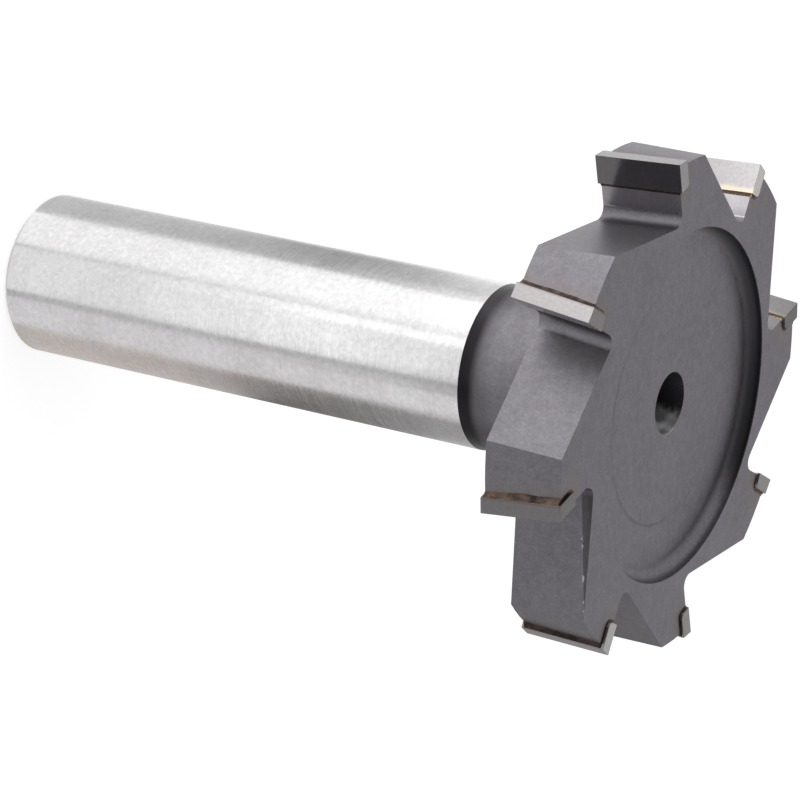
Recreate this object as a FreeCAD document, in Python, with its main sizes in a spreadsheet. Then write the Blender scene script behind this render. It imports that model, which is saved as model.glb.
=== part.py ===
import FreeCAD, Part
import math
import os

import Sketcher

# A staggered-tooth woodruff keyseat cutter: one turned steel body with a ground shank, a necked
# waist and a disc head, and eight hard tips brazed into milled seats round the head.
# The cutter stands on its shank end: origin at the centre of that end, +Z along the axis to the head.

# Driving sizes, in millimetres and degrees
SIZES = {
    "shank_diameter": 12.7,
    "shank_length": 41.65,
    "end_chamfer": 0.5,
    "neck_step": 0.2,
    "relief_length": 1.0,
    "relief_blend": 2.0,
    "neck_fillet": 2.0,
    "overall_length": 57.15,
    "cutter_diameter": 38.1,
    "cutting_width": 6.35,
    "side_relief": 0.2,
    "tip_projection": 0.45,
    "recess_diameter": 26.4,
    "recess_depth": 1.1,
    "recess_fillet": 0.9,
    "centre_mouth_diameter": 4.64,
    "centre_mouth_depth": 3.3,
    "centre_cone_angle": 60.0,
    "centre_pilot_diameter": 2.0,
    "centre_pilot_length": 2.5,
    "end_centre_diameter": 4.0,
    "tooth_pairs": 4,
    "rake_angle": 5.0,
    "shear_angle": 6.7,
    "tip_thickness": 1.2,
    "tip_height": 2.3,
    "tip_relief_angle": 6.0,
    "tip_corner_radius": 0.45,
    "braze_thickness": 0.2,
    "seat_setback": 0.15,
    "gullet_angle": 25.0,
    "back_slope_angle": 12.0,
    "gullet_radius": 0.8,
    "cut_clearance": 1.0,
}

# Lengths and angles that follow from the driving sizes
MEASURES = {
    "shank_radius": "sizes.shank_diameter / 2",
    "end_radius": "measures.shank_radius - sizes.end_chamfer",
    "neck_radius": "measures.shank_radius - sizes.neck_step",
    "neck_start": "sizes.shank_length + sizes.relief_length",
    "cutter_radius": "sizes.cutter_diameter / 2",
    "head_radius": "measures.cutter_radius - sizes.tip_projection",
    "head_middle": "sizes.overall_length - sizes.cutting_width / 2",
    "head_width": "sizes.cutting_width - 2 * sizes.side_relief",
    "head_back": "measures.head_middle - measures.head_width / 2",
    "head_front": "measures.head_middle + measures.head_width / 2",
    "recess_radius": "sizes.recess_diameter / 2",
    "recess_floor": "measures.head_front - sizes.recess_depth",
    "mouth_radius": "sizes.centre_mouth_diameter / 2",
    "pilot_radius": "sizes.centre_pilot_diameter / 2",
    "cone_slope": "tan(sizes.centre_cone_angle / 2 * 1 deg)",
    "mouth_end": "measures.recess_floor - sizes.centre_mouth_depth",
    "cone_end": "measures.mouth_end - (measures.mouth_radius - measures.pilot_radius) / measures.cone_slope",
    "pilot_end": "measures.cone_end - sizes.centre_pilot_length",
    "pilot_point": "measures.pilot_end - measures.pilot_radius / 2",
    "end_mouth_radius": "sizes.end_centre_diameter / 2",
    "end_cone_end": "(measures.end_mouth_radius - measures.pilot_radius) / measures.cone_slope",
    "end_pilot_end": "measures.end_cone_end + sizes.centre_pilot_length",
    "end_pilot_point": "measures.end_pilot_end + measures.pilot_radius / 2",
    "edge_x": "measures.cutter_radius * cos(sizes.rake_angle * 1 deg)",
    "rake_y": "-measures.cutter_radius * sin(sizes.rake_angle * 1 deg)",
    "tip_floor_x": "measures.edge_x - sizes.tip_height",
    "tip_back_y": "measures.rake_y - sizes.tip_thickness",
    "tip_heel_x": "measures.edge_x"
    " - sizes.tip_thickness * tan((sizes.rake_angle + sizes.tip_relief_angle) * 1 deg)",
    "ledge_x": "measures.tip_floor_x - sizes.braze_thickness",
    "wall_y": "measures.tip_back_y - sizes.braze_thickness",
    "seat_y": "measures.rake_y - sizes.seat_setback",
    "seat_corner_radius": "sizes.tip_corner_radius + sizes.braze_thickness",
    "braze_top_x": "sqrt(measures.head_radius ^ 2 - measures.wall_y ^ 2)",
    "clear_x": "measures.cutter_radius + sizes.cut_clearance",
    "slope_angle": "90 - sizes.back_slope_angle - sizes.rake_angle",
    "corner_x": "measures.head_radius * cos(sizes.gullet_angle * 1 deg)",
    "corner_y": "measures.head_radius * sin(sizes.gullet_angle * 1 deg)",
    "cut_depth": "measures.head_width + 2 * sizes.cut_clearance",
}

# A sketch's numbers for the two ends of a line or arc, and for its own origin and axes
START = 1
END = 2
ORIGIN = -1
ACROSS = -1
UPRIGHT = -2

# Two points closer than this are one, in millimetres
SAME_PLACE = 0.001

TOOTH_COUNT = 2 * SIZES["tooth_pairs"]
TOOTH_PITCH = 360.0 / TOOTH_COUNT

doc = FreeCAD.newDocument("keyseat_cutter")


def make_sheet():
    """The driving sizes, one row each: the name in column A, its value with that alias in B."""
    sheet = doc.addObject("Spreadsheet::Sheet", "sizes")
    for row, (name, value) in enumerate(SIZES.items(), start=1):
        sheet.set(f"A{row}", name)
        sheet.set(f"B{row}", str(value))
        sheet.setAlias(f"B{row}", name)
    doc.recompute()
    return sheet


def make_measures():
    """The derived lengths and angles, each bound to the cells by its expression."""
    holder = doc.addObject("App::VarSet", "measures")
    for name, expression in MEASURES.items():
        holder.addProperty("App::PropertyFloat", name)
        holder.setExpression(name, expression)
        doc.recompute()
    return holder


make_sheet()
measures = make_measures()


def value_of(name):
    """A measure's or a driving size's number, and zero for the axis or the base plane."""
    if name == "0":
        return 0.0
    if name in SIZES:
        return float(SIZES[name])
    return getattr(measures, name)


def source_of(name):
    """The expression that a constraint follows for a named size."""
    if name in SIZES:
        return f"sizes.{name}"
    return f"measures.{name}"


def new_body(label):
    """An empty body, labelled with its node's name."""
    body = doc.addObject("PartDesign::Body", label)
    body.Label = label
    return body


def new_sketch(body, name, plane):
    """A sketch flat on one of the body's own origin planes."""
    sketch = body.newObject("Sketcher::SketchObject", name)
    planes = [item for item in body.Origin.OriginFeatures if item.Role == plane]
    sketch.AttachmentSupport = (planes[0], [""])
    sketch.MapMode = "FlatFace"
    return sketch


def rounded_corner(before, corner, after, radius):
    """The two tangent points and the arc that round one corner of an outline."""
    back = (before - corner).normalize()
    ahead = (after - corner).normalize()
    half = back.getAngle(ahead) / 2
    reach = radius / math.tan(half)
    centre = corner + (back + ahead).normalize() * (radius / math.sin(half))
    middle = centre + (corner - centre).normalize() * radius
    first = corner + back * reach
    last = corner + ahead * reach
    arc = Part.Arc(first, middle, last)
    return first, last, arc


def bind(sketch, constraint, expression):
    """Add a dimension to a sketch and let it follow an expression."""
    index = sketch.addConstraint(constraint)
    sketch.setExpression(f"Constraints[{index}]", expression)


def pin_point(sketch, geometry, end, names):
    """Hold one end of a line at the named distances from the sketch's origin."""
    for kind, name in zip(("DistanceX", "DistanceY"), names):
        if name == "0":
            axis = UPRIGHT if kind == "DistanceX" else ACROSS
            sketch.addConstraint(Sketcher.Constraint("PointOnObject", geometry, end, axis))
            continue
        place = value_of(name)
        if place < 0:
            held = Sketcher.Constraint(kind, geometry, end, ORIGIN, START, -place)
            bind(sketch, held, f"-{source_of(name)}")
        else:
            held = Sketcher.Constraint(kind, ORIGIN, START, geometry, end, place)
            bind(sketch, held, source_of(name))


def closed_outline(sketch, corners, roundings=None):
    """Draw a closed outline of straight sides through named corners, some of them rounded.

    Each corner is a pair of size names: its distances from the sketch's origin.
    """
    roundings = roundings or {}
    points = [FreeCAD.Vector(value_of(x), value_of(y), 0) for x, y in corners]
    count = len(points)
    starts = list(points)
    ends = list(points)
    arcs = {}
    for index, radius_name in roundings.items():
        ends[index], starts[index], arcs[index] = rounded_corner(
            points[index - 1], points[index], points[(index + 1) % count], value_of(radius_name)
        )
    sides = [
        sketch.addGeometry(Part.LineSegment(starts[index], ends[(index + 1) % count]), False)
        for index in range(count)
    ]
    for index in range(count):
        before = sides[index - 1]
        after = sides[index]
        if index in arcs:
            join_arc(sketch, before, after, arcs[index], roundings[index])
            aim_at_corner(sketch, (before, after), corners[index])
        else:
            sketch.addConstraint(Sketcher.Constraint("Coincident", before, END, after, START))
            pin_point(sketch, after, START, corners[index])


def join_arc(sketch, before, after, arc, radius_name):
    """Join two sides by a tangent arc of a named radius."""
    arc_index = sketch.addGeometry(arc, False)
    meets = sketch.getPoint(before, END)
    near, far = START, END
    if not meets.isEqual(sketch.getPoint(arc_index, START), SAME_PLACE):
        near, far = END, START
    sketch.addConstraint(Sketcher.Constraint("Tangent", before, END, arc_index, near))
    sketch.addConstraint(Sketcher.Constraint("Tangent", arc_index, far, after, START))
    bind(sketch, Sketcher.Constraint("Radius", arc_index, value_of(radius_name)), source_of(radius_name))


def aim_at_corner(sketch, sides, names):
    """Keep the sides beside a rounded corner pointing at the sharp corner's named place."""
    place = FreeCAD.Vector(value_of(names[0]), value_of(names[1]), 0)
    corner = sketch.addGeometry(Part.Point(place), True)
    pin_point(sketch, corner, START, names)
    for side in sides:
        sketch.addConstraint(Sketcher.Constraint("PointOnObject", corner, START, side))


def add_turned(body, name, corners, roundings=None, cut=False):
    """Turn a half section about the Z axis, as added metal or as a cut."""
    sketch = new_sketch(body, f"{name}_section", "XZ_Plane")
    closed_outline(sketch, corners, roundings)
    kind = "PartDesign::Groove" if cut else "PartDesign::Revolution"
    feature = body.newObject(kind, name)
    feature.Profile = sketch
    feature.ReferenceAxis = (sketch, ["V_Axis"])
    feature.Angle = 360
    doc.recompute()
    return feature


def shear_direction(angle, lead):
    """The way a tooth at this angle runs from the shank side to the front side of the head."""
    lean = lead * math.tan(math.radians(SIZES["shear_angle"]))
    turn = math.radians(angle)
    return FreeCAD.Vector(-lean * math.sin(turn), lean * math.cos(turn), 1)


def place_tooth_sketch(sketch, angle):
    """Put a tooth's sketch at the middle of the head, with its X axis along the rake face."""
    sketch.AttachmentOffset = FreeCAD.Placement(
        FreeCAD.Vector(0, 0, value_of("head_middle")),
        FreeCAD.Rotation(FreeCAD.Vector(0, 0, 1), angle + SIZES["rake_angle"]),
    )
    sketch.setExpression("AttachmentOffset.Base.z", "measures.head_middle")


def run_through(feature, sketch, depth_name, angle, lead):
    """Carry a tooth's sketch to both sides of the head along its sheared direction."""
    feature.Profile = sketch
    feature.SideType = "Symmetric"
    feature.UseCustomVector = True
    feature.Direction = shear_direction(angle, lead)
    feature.AlongSketchNormal = True
    feature.Length = value_of(depth_name)
    feature.setExpression("Length", source_of(depth_name))


def gullet_outline(sketch):
    """One gullet with the seat of its tip: back wall, ledge, seat face, gullet floor, back slope."""
    corner = FreeCAD.Vector(value_of("corner_x"), value_of("corner_y"), 0)
    slope = math.radians(value_of("slope_angle"))
    along = FreeCAD.Vector(math.cos(slope), math.sin(slope), 0)
    clear = value_of("clear_x")
    top = corner + along * ((clear - corner.x) / along.x)
    root = corner + along * ((value_of("seat_y") - corner.y) / along.y)
    wall_out = FreeCAD.Vector(clear, value_of("wall_y"), 0)
    wall_in = FreeCAD.Vector(value_of("ledge_x"), value_of("wall_y"), 0)
    ledge_end = FreeCAD.Vector(value_of("ledge_x"), value_of("seat_y"), 0)
    seat_in, seat_out, seat_arc = rounded_corner(
        wall_out, wall_in, ledge_end, value_of("seat_corner_radius")
    )
    floor_in, floor_out, floor_arc = rounded_corner(ledge_end, root, top, value_of("gullet_radius"))
    wall = sketch.addGeometry(Part.LineSegment(wall_out, seat_in), False)
    ledge = sketch.addGeometry(Part.LineSegment(seat_out, ledge_end), False)
    seat = sketch.addGeometry(Part.LineSegment(ledge_end, floor_in), False)
    back_slope = sketch.addGeometry(Part.LineSegment(floor_out, top), False)
    closing = sketch.addGeometry(Part.LineSegment(top, wall_out), False)
    land_corner = sketch.addGeometry(Part.Point(corner), True)
    join_arc(sketch, wall, ledge, seat_arc, "seat_corner_radius")
    join_arc(sketch, seat, back_slope, floor_arc, "gullet_radius")
    for first, last in ((ledge, seat), (back_slope, closing), (closing, wall)):
        sketch.addConstraint(Sketcher.Constraint("Coincident", first, END, last, START))
    for level in (wall, seat):
        sketch.addConstraint(Sketcher.Constraint("Horizontal", level))
    for upright in (ledge, closing):
        sketch.addConstraint(Sketcher.Constraint("Vertical", upright))
    pin_point(sketch, wall, START, ("clear_x", "wall_y"))
    pin_point(sketch, ledge, END, ("ledge_x", "seat_y"))
    pin_point(sketch, land_corner, START, ("corner_x", "corner_y"))
    sketch.addConstraint(Sketcher.Constraint("PointOnObject", land_corner, START, back_slope))
    leaning = Sketcher.Constraint("Angle", ORIGIN, START, back_slope, START, slope)
    bind(sketch, leaning, "measures.slope_angle * 1 deg")


def cut_gullets(body, name, angle, lead):
    """Mill every second gullet and seat: those whose tips share one shear."""
    sketch = new_sketch(body, f"{name}_outline", "XY_Plane")
    place_tooth_sketch(sketch, angle)
    gullet_outline(sketch)
    doc.recompute()
    before = body.Shape.Volume
    pocket = body.newObject("PartDesign::Pocket", name)
    run_through(pocket, sketch, "cut_depth", angle, lead)
    doc.recompute()
    pattern = body.newObject("PartDesign::PolarPattern", f"{name}_round")
    pattern.Originals = [pocket]
    pattern.Axis = (sketch, ["N_Axis"])
    pattern.Angle = 360
    pattern.Occurrences = SIZES["tooth_pairs"]
    pattern.setExpression("Occurrences", "sizes.tooth_pairs")
    body.Tip = pattern
    doc.recompute()
    if body.Shape.Volume >= before:
        raise ValueError(f"{name} cut nothing")


def make_cutter_body():
    """The steel body: shank, relieved neck and recessed head turned from bar, then milled."""
    body = new_body("cutter_body")
    add_turned(
        body,
        "turned_form",
        (
            ("0", "0"),
            ("end_radius", "0"),
            ("shank_radius", "end_chamfer"),
            ("shank_radius", "shank_length"),
            ("neck_radius", "neck_start"),
            ("neck_radius", "head_back"),
            ("head_radius", "head_back"),
            ("head_radius", "head_front"),
            ("0", "head_front"),
        ),
        {4: "relief_blend", 5: "neck_fillet"},
    )
    add_turned(
        body,
        "face_recess",
        (
            ("0", "recess_floor"),
            ("recess_radius", "recess_floor"),
            ("recess_radius", "overall_length"),
            ("0", "overall_length"),
        ),
        {1: "recess_fillet"},
        cut=True,
    )
    add_turned(
        body,
        "front_centre",
        (
            ("0", "pilot_point"),
            ("pilot_radius", "pilot_end"),
            ("pilot_radius", "cone_end"),
            ("mouth_radius", "mouth_end"),
            ("mouth_radius", "head_front"),
            ("0", "head_front"),
        ),
        cut=True,
    )
    add_turned(
        body,
        "end_centre",
        (
            ("0", "0"),
            ("end_mouth_radius", "0"),
            ("pilot_radius", "end_cone_end"),
            ("pilot_radius", "end_pilot_end"),
            ("0", "end_pilot_point"),
        ),
        cut=True,
    )
    cut_gullets(body, "odd_gullets", 0, -1)
    cut_gullets(body, "even_gullets", TOOTH_PITCH, 1)
    return body


def make_tooth_piece(label, angle, lead, corners, roundings, depth_name):
    """One piece of a tooth, drawn on the tooth at angle zero and turned to its own place."""
    piece = new_body(label)
    sketch = new_sketch(piece, f"{label}_outline", "XY_Plane")
    place_tooth_sketch(sketch, 0)
    closed_outline(sketch, corners, roundings)
    pad = piece.newObject("PartDesign::Pad", f"{label}_length")
    run_through(pad, sketch, depth_name, 0, lead)
    piece.Placement = FreeCAD.Placement(
        FreeCAD.Vector(0, 0, 0), FreeCAD.Rotation(FreeCAD.Vector(0, 0, 1), angle)
    )
    doc.recompute()
    return piece


def make_tip(number, angle, lead):
    """A hard tip: flat rake face, relieved top, and a rounded inner corner that sits in the seat."""
    corners = (
        ("edge_x", "rake_y"),
        ("tip_floor_x", "rake_y"),
        ("tip_floor_x", "tip_back_y"),
        ("tip_heel_x", "tip_back_y"),
    )
    return make_tooth_piece(
        f"carbide_tip_{number}", angle, lead, corners, {2: "tip_corner_radius"}, "cutting_width"
    )


def make_braze(number, angle, lead):
    """The braze layer between a tip and its seat, under the tip and up behind it."""
    corners = (
        ("braze_top_x", "wall_y"),
        ("braze_top_x", "tip_back_y"),
        ("tip_floor_x", "tip_back_y"),
        ("tip_floor_x", "seat_y"),
        ("ledge_x", "seat_y"),
        ("ledge_x", "wall_y"),
    )
    roundings = {2: "tip_corner_radius", 5: "seat_corner_radius"}
    return make_tooth_piece(f"braze_seam_{number}", angle, lead, corners, roundings, "head_width")


def check_and_write(pieces):
    """Check every object and every piece, then write one file a piece."""
    for item in doc.Objects:
        if "Invalid" in item.State or "Error" in item.State:
            raise ValueError(f"{item.Name} failed: {item.State}")
    for piece in pieces:
        if piece.Shape.isNull() or not piece.Shape.isValid():
            raise ValueError(f"{piece.Label} has no valid shape")
    os.makedirs("parts", exist_ok=True)
    for piece in pieces:
        piece.Shape.exportStep(f"parts/{piece.Label}.step")
        print(piece.Label, len(piece.Shape.Solids), round(piece.Shape.Volume, 3))


pieces = [make_cutter_body()]
for number in range(1, TOOTH_COUNT + 1):
    tooth_angle = (number - 1) * TOOTH_PITCH
    tooth_lead = 1 if number % 2 == 0 else -1
    pieces.append(make_tip(number, tooth_angle, tooth_lead))
    pieces.append(make_braze(number, tooth_angle, tooth_lead))
check_and_write(pieces)
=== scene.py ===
import math

import bmesh
import bpy
import numpy as np
from mathutils import Euler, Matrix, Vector


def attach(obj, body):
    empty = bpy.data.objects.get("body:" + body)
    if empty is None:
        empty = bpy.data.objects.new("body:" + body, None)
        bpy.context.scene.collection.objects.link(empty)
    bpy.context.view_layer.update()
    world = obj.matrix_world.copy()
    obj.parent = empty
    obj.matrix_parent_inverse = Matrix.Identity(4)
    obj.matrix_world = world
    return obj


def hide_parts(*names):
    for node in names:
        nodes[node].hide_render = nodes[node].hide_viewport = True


# A woodruff keyseat cutter: ground shank, blasted neck and toothed head, brazed hard tips.
# Everything is in metres, in the frame's own axes: +Z runs from the shank's end to the head's face.

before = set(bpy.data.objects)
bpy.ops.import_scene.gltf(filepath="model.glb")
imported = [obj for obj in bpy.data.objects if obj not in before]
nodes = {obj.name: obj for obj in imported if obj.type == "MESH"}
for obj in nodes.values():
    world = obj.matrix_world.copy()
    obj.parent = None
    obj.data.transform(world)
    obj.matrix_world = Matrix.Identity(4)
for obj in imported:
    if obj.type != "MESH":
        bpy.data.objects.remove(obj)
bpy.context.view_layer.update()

MM = 0.001
TEETH = 8

# Driving sizes of the cutter, as the frame has them
SHANK_LENGTH = 41.65 * MM
RELIEF_LENGTH = 1.0 * MM
CUTTER_RADIUS = 19.05 * MM
HEAD_RADIUS = 18.6 * MM
HEAD_MIDDLE = 53.975 * MM
HEAD_FRONT = 56.95 * MM
RAKE_ANGLE = math.radians(5)
SHEAR_ANGLE = math.radians(6.7)
TIP_THICKNESS = 1.2 * MM
TIP_HEIGHT = 2.3 * MM
BRAZE_THICKNESS = 0.2 * MM
SEAT_SETBACK = 0.15 * MM
TIP_RELIEF_ANGLE = math.radians(6)
TIP_CORNER_RADIUS = 0.45 * MM
GULLET_ANGLE = math.radians(25)
BACK_SLOPE = 12
HEAD_BACK = 2 * HEAD_MIDDLE - HEAD_FRONT
RECESS_FLOOR = HEAD_FRONT - 1.1 * MM
RECESS_RADIUS = 13.2 * MM
BORE_RADIUS = 2.32 * MM
ROOT_RADIUS = 0.8 * MM
RELIEF_END = SHANK_LENGTH + RELIEF_LENGTH

# Where painted light and shade sit round the axis: the azimuth of the centre bore's painted lit patch, of the
# recess corner's painted shade, of the neck's shaded side, and of the side where the turned ring's painted
# shade is strongest
BORE_LIT_SIDE = math.radians(185)
CORNER_SHADE_SIDE = math.radians(275)
SHADED_SIDE = math.radians(160)
RING_SHADE_SIDE = math.radians(110)
RING_RADIUS = 9.1 * MM

# How light each tip's rake face, relieved top and sides are beside the common tone, which is painted light and
# shade for the light each flat mirrors, how much gold film its rake's foot has, and how rough those three kinds
# of flat are
TIP_PAINTED_LIGHT_AND_FILM = (
    (0.34, 0.95, 1.0, 0.1), (1.0, 1.02, 0.68, 0.5), (1.0, 0.59, 0.52, 0.5), (1.0, 0.9, 1.45, 0.5),
    (1.0, 1.0, 0.83, 0.5), (1.0, 1.0, 0.82, 0.5), (0.8, 1.0, 0.43, 0.6), (1.38, 1.0, 1.9, 1.0),
)
FLAT_ROUGHNESS = (0.13, 0.34, 0.26)

# How much gold each tip's braze shows at the foot, how brown rather than black it is, and how far
# it runs out over the land behind the tip. The gold and brown are partly the braze's own look and partly
# painted shade on seams that mirror dark surroundings
SEAMS = (
    (0.1, 0.8, 0.8), (0.4, 1.0, 0.7), (0.3, 0.72, 1.0), (0.2, 0.3, 0.3),
    (0.3, 0.6, 0.5), (0.4, 0.8, 0.7), (0.7, 1.0, 0.9), (1.0, 0.8, 0.6),
)

# Painted light and shade on single flats of the body: factors on their colour, lighter or darker than the
# common tone where light and its reflection fall differently
FACE_PAINTED_LIGHT = 1.15
FIRST_FILLET_PAINTED_SHADE = 0.8
FOURTH_SLOPE_PAINTED_SHADE = 0.84
EIGHTH_SEAT_PAINTED_HIGHLIGHT = 1.65

# Colours that more than one effect uses
# Near black painted shade, in the centre bore and the recess's far corner
PAINTED_SHADE = (0.03, 0.028, 0.03, 1.0)
# Bright bare metal of the facet's burrs, and the colour of the bore's painted lit patch
BURR_AND_LIT_PATCH_METAL = (0.62, 0.6, 0.62, 1.0)
WHITE = (1.0, 1.0, 1.0, 1.0)

# Small edge breaks, which the deburred and ground edges of the real cutter have
BODY_BREAK = 0.06 * MM
TIP_BREAK = 0.03 * MM
EDGE_STEPS = 2
SHARP = math.radians(28)

# How near two points are to be one, how level two faces to be one flat, and how far faces turn
# at an edge that still looks smooth
MERGE = 0.001 * MM
LEVEL = 0.01
STEEL_SMOOTH = math.radians(35)
BRAZE_SMOOTH = math.radians(40)

# Places along a tooth's own axes: x outwards along the rake face, y towards the cut
EDGE_X = CUTTER_RADIUS * math.cos(RAKE_ANGLE)
RAKE_Y = -CUTTER_RADIUS * math.sin(RAKE_ANGLE)
SEAT_Y = RAKE_Y - SEAT_SETBACK
TIP_FLOOR_X = EDGE_X - TIP_HEIGHT
TIP_BACK_Y = RAKE_Y - TIP_THICKNESS
TIP_HEEL_X = EDGE_X - TIP_THICKNESS * math.tan(RAKE_ANGLE + TIP_RELIEF_ANGLE)
LEDGE_X = TIP_FLOOR_X - BRAZE_THICKNESS
WALL_Y = TIP_BACK_Y - BRAZE_THICKNESS
CORNER_X = HEAD_RADIUS * math.cos(GULLET_ANGLE)
CORNER_Y = HEAD_RADIUS * math.sin(GULLET_ANGLE)
SLOPE_ANGLE = math.radians(90 - BACK_SLOPE) - RAKE_ANGLE
PITCH = 2 * math.pi / TEETH
TOOTH_ADVANCE = math.radians(14.5)
ROOT_X = CORNER_X - (CORNER_Y - SEAT_Y) / math.tan(SLOPE_ANGLE)
SEAT_END_X = ROOT_X + ROOT_RADIUS / math.tan(SLOPE_ANGLE / 2)

# The milling cutter's run-in left a narrow facet along one gullet's front edge. The wedge that cuts
# it stands clear of the slope by its top, and ends in an arc a little before the seat
FACET_TOOTH = 3
FACET_WIDTH = 0.85 * MM
FACET_TILT = math.radians(25)
WEDGE_TOP = 1.5 * MM
FACET_STOP = 1.2 * MM
FACET_ROUND = 0.8 * MM
BEND_STEPS = 9

# The braze's fillets at the tip's heel and foot, and how far it swells past the head's two faces
HEEL_REACH = 0.2 * MM
FOOT_REACH = 0.05 * MM
BRAZE_SWELL = 0.02 * MM


# Node graphs

def bare_material(name):
    """A material with nothing but its output, and its node tree and output."""
    material = bpy.data.materials.new(name)
    material.use_nodes = True
    tree = material.node_tree
    tree.nodes.clear()
    return material, tree, tree.nodes.new("ShaderNodeOutputMaterial")


def new_material(name):
    """A material with a Principled shader, and its node tree."""
    material, tree, output = bare_material(name)
    shader = tree.nodes.new("ShaderNodeBsdfPrincipled")
    tree.links.new(shader.outputs["BSDF"], output.inputs["Surface"])
    return material, tree, shader


def link(tree, source, target):
    """Join an output to an input, or set the input where the source is a plain value."""
    if isinstance(source, bpy.types.NodeSocket):
        tree.links.new(source, target)
    else:
        target.default_value = source


def math_node(tree, operation, first, second=None, third=None):
    """One Math node's result."""
    node = tree.nodes.new("ShaderNodeMath")
    node.operation = operation
    for index, source in enumerate((first, second, third)):
        if source is not None:
            link(tree, source, node.inputs[index])
    return node.outputs[0]


def product(tree, first, second):
    """Two values multiplied."""
    return math_node(tree, "MULTIPLY", first, second)


def object_place(tree):
    """The place on the piece, in metres."""
    return tree.nodes.new("ShaderNodeTexCoord").outputs["Object"]


def scaled_place(tree, place, scale):
    """A place stretched along each axis, to set the grain's size and direction."""
    node = tree.nodes.new("ShaderNodeVectorMath")
    node.operation = "MULTIPLY"
    link(tree, place, node.inputs[0])
    node.inputs[1].default_value = scale
    return node.outputs[0]


def noise(tree, place, scale, detail=3.0, roughness=0.55):
    """A noise value at a place."""
    node = tree.nodes.new("ShaderNodeTexNoise")
    link(tree, place, node.inputs["Vector"])
    node.inputs["Scale"].default_value = scale
    node.inputs["Detail"].default_value = detail
    node.inputs["Roughness"].default_value = roughness
    return node.outputs["Fac"]


def remap(tree, value, low, high, to_low, to_high, smooth=False):
    """A value moved from one range to another, and held within it."""
    node = tree.nodes.new("ShaderNodeMapRange")
    node.interpolation_type = "SMOOTHSTEP" if smooth else "LINEAR"
    link(tree, value, node.inputs["Value"])
    for name, number in (("From Min", low), ("From Max", high), ("To Min", to_low), ("To Max", to_high)):
        node.inputs[name].default_value = number
    return node.outputs["Result"]


def mix_colour(tree, factor, first, second, blend="MIX"):
    """Two colours mixed by a factor."""
    node = tree.nodes.new("ShaderNodeMix")
    node.data_type = "RGBA"
    node.blend_type = blend
    link(tree, factor, node.inputs["Factor"])
    link(tree, first, node.inputs["A"])
    link(tree, second, node.inputs["B"])
    return node.outputs["Result"]


def bump(tree, height, strength, distance):
    """A normal raised by a height."""
    node = tree.nodes.new("ShaderNodeBump")
    link(tree, height, node.inputs["Height"])
    node.inputs["Strength"].default_value = strength
    node.inputs["Distance"].default_value = distance
    return node.outputs["Normal"]


def height_along(tree, place):
    """The place's distance from the shank's end."""
    node = tree.nodes.new("ShaderNodeSeparateXYZ")
    link(tree, place, node.inputs[0])
    return node.outputs["Z"]


def tooth_group():
    """A node group that turns a place into the nearest tooth's own place.

    The azimuth gives the tooth's number k, from its floor after a small advance. The tooth's lean
    is taken off along its tangent, and the rest is turned back by the tooth's angle and the rake.
    Across runs outwards along the rake face, Ahead runs towards the cut, and Lead is the lean's sign.
    """
    group = bpy.data.node_groups.new("tooth_place", "ShaderNodeTree")
    group.interface.new_socket("Place", in_out="INPUT", socket_type="NodeSocketVector")
    for name in ("Across", "Ahead", "Lead"):
        group.interface.new_socket(name, in_out="OUTPUT", socket_type="NodeSocketFloat")
    begin = group.nodes.new("NodeGroupInput")
    end = group.nodes.new("NodeGroupOutput")
    parts = group.nodes.new("ShaderNodeSeparateXYZ")
    link(group, begin.outputs["Place"], parts.inputs[0])
    x, y, z = parts.outputs
    advanced = math_node(group, "ADD", math_node(group, "ARCTAN2", y, x), TOOTH_ADVANCE)
    number = math_node(group, "FLOOR", math_node(group, "DIVIDE", advanced, PITCH))
    lead = math_node(group, "MULTIPLY_ADD", math_node(group, "FLOORED_MODULO", number, 2.0), 2.0, -1.0)
    angle = product(group, number, PITCH)
    depth = math_node(group, "SUBTRACT", z, HEAD_MIDDLE)
    lean = product(group, product(group, depth, lead), math.tan(SHEAR_ANGLE))
    upright_x = math_node(group, "ADD", x, product(group, lean, math_node(group, "SINE", angle)))
    upright_y = math_node(group, "SUBTRACT", y, product(group, lean, math_node(group, "COSINE", angle)))
    turn = math_node(group, "ADD", angle, RAKE_ANGLE)
    cosine = math_node(group, "COSINE", turn)
    sine = math_node(group, "SINE", turn)
    across = math_node(group, "ADD", product(group, upright_x, cosine), product(group, upright_y, sine))
    ahead = math_node(group, "SUBTRACT", product(group, upright_y, cosine), product(group, upright_x, sine))
    for name, source in (("Across", across), ("Ahead", ahead), ("Lead", lead)):
        link(group, source, end.inputs[name])
    return group


def tooth_place(tree, place):
    """The tooth's own place, along the rake face and towards the cut, and its lean's sign."""
    node = tree.nodes.new("ShaderNodeGroup")
    node.node_tree = bpy.data.node_groups.get("tooth_place") or tooth_group()
    link(tree, place, node.inputs["Place"])
    return node.outputs["Across"], node.outputs["Ahead"], node.outputs["Lead"]


def beyond(tree, value, middle, half):
    """How far a value lies outside a span, and zero within it."""
    away = math_node(tree, "ABSOLUTE", math_node(tree, "SUBTRACT", value, middle))
    return math_node(tree, "MAXIMUM", math_node(tree, "SUBTRACT", away, half), 0.0)


def distance_from_tip(tree, across, ahead):
    """The distance from the tip's outline, seen along the tooth: zero on the tip."""
    sideways = beyond(tree, across, EDGE_X - TIP_HEIGHT / 2, TIP_HEIGHT / 2)
    onwards = beyond(tree, ahead, RAKE_Y - TIP_THICKNESS / 2, TIP_THICKNESS / 2)
    squares = math_node(tree, "ADD", product(tree, sideways, sideways), product(tree, onwards, onwards))
    return math_node(tree, "SQRT", squares)


def axis_radius(tree, place):
    """The place's distance from the cutter's axis."""
    flat = scaled_place(tree, place, (1.0, 1.0, 0.0))
    node = tree.nodes.new("ShaderNodeVectorMath")
    node.operation = "LENGTH"
    link(tree, flat, node.inputs[0])
    return node.outputs["Value"]


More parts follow.
